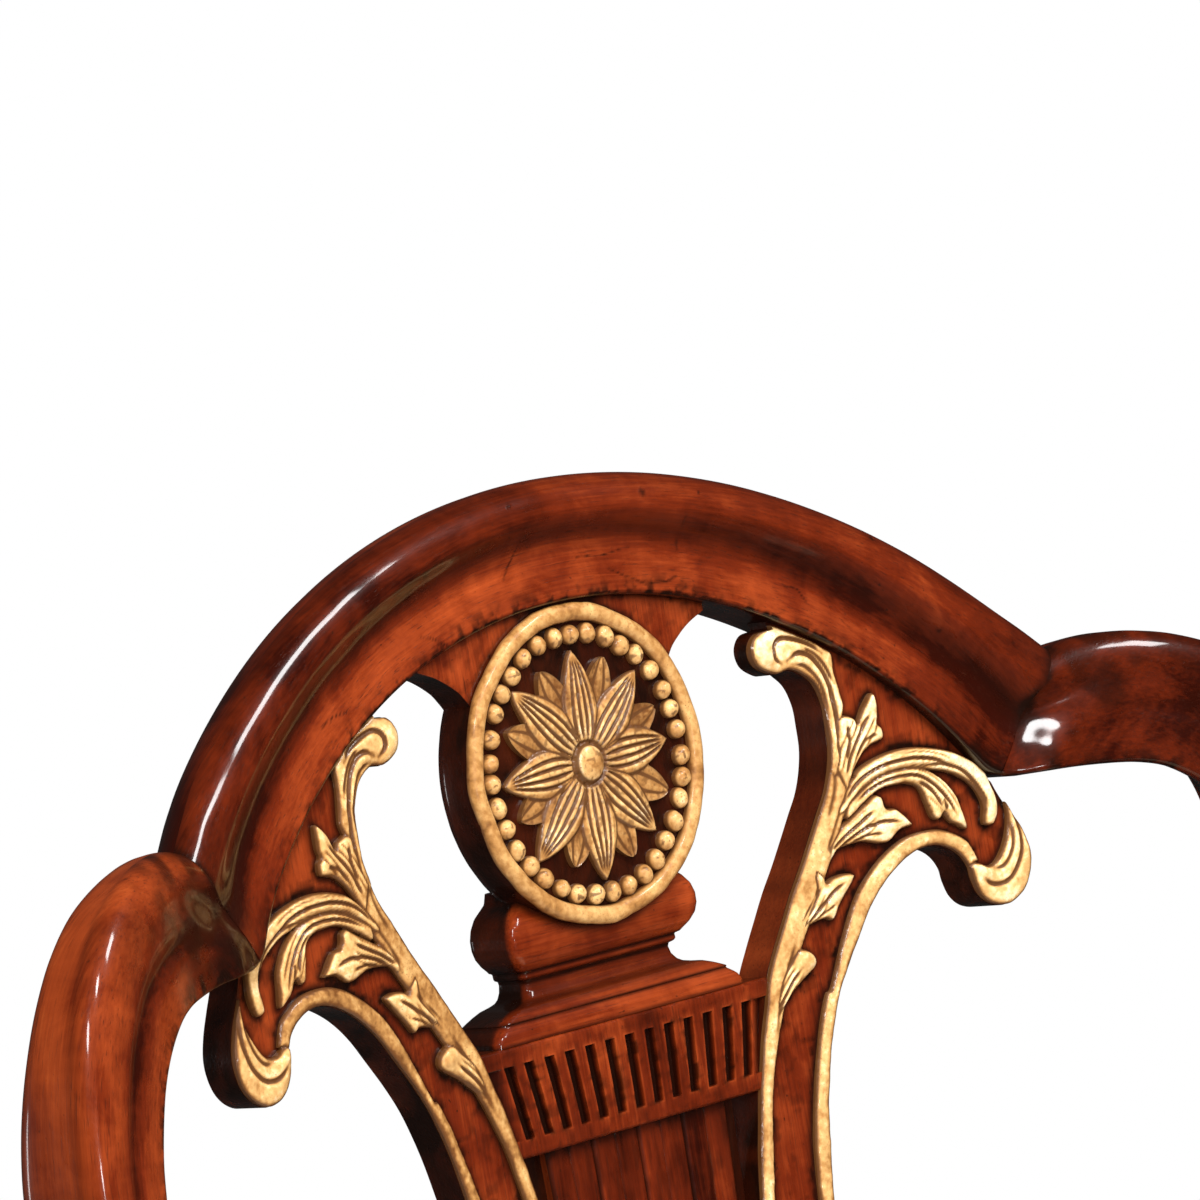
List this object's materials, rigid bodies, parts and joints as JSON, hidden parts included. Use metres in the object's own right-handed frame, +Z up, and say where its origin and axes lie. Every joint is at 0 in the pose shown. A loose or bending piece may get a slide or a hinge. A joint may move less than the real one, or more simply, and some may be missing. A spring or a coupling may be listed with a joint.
{
  "type": "lyre back armchair",
  "caption": "Armchair with a carved and parcel-gilt lyre splat, arched crest rail, scrolled open arms, tapered front legs and a lift-out padded seat.",
  "frame": {"origin": "centre of the overall box on the floor, under the seat", "axes": "+X to the right seen from the front, +Y towards the back of the chair, +Z up; the chair faces -Y"},
  "size_m": [0.6566, 0.607, 1.0205],
  "materials": {
    "mahogany": "french polished, glazed dark in the hollows and lightly distressed",
    "gilded_mahogany": "carved wood with antiqued gilding, brown glaze in the recesses",
    "beech": "unfinished planed wood",
    "screw_steel": "zinc plated",
    "tack_steel": "blued",
    "webbing": "woven jute",
    "stuffing": "felted stuffing",
    "seat_cloth": "plain woven upholstery cloth",
    "dust_cloth": "black cambric",
    "glide_nylon": "moulded nylon"
  },
  "bodies": {
    "frame": {"crest_rail": "mahogany", "lyre_arm_right": "mahogany", "lyre_arm_left": "mahogany", "lyre_plinth": "mahogany", "lyre_frieze": "mahogany", "lyre_strings": "mahogany", "lyre_base": "mahogany", "seat_rail_front": "mahogany", "seat_rail_rear": "mahogany", "seat_rail_right": "mahogany", "seat_rail_left": "mahogany", "shoe_rail": "mahogany", "front_leg_right": "mahogany", "front_leg_left": "mahogany", "rear_post_right": "mahogany", "rear_post_left": "mahogany", "arm_right": "mahogany", "arm_left": "mahogany", "arm_support_right": "mahogany", "arm_support_left": "mahogany", "medallion": "gilded_mahogany", "corner_block_front_right": "beech", "corner_block_rear_right": "beech", "corner_block_front_left": "beech", "corner_block_rear_left": "beech", "corner_block_screws": "screw_steel", "arm_support_screws": "screw_steel", "arm_screws": "screw_steel", "floor_glides": "glide_nylon"},
    "seat": {"seat_frame_front": "beech", "seat_frame_rear": "beech", "seat_frame_right": "beech", "seat_frame_left": "beech", "seat_webbing": "webbing", "seat_pad": "stuffing", "seat_cover": "seat_cloth", "seat_dust_cover": "dust_cloth", "dust_cover_tacks": "tack_steel"}
  },
  "joints": [
    {"name": "seat_lift", "type": "slide", "parent": "frame", "child": "seat", "axis": [0, 0, 1], "range_m": [0, 0.12]}
  ]
}
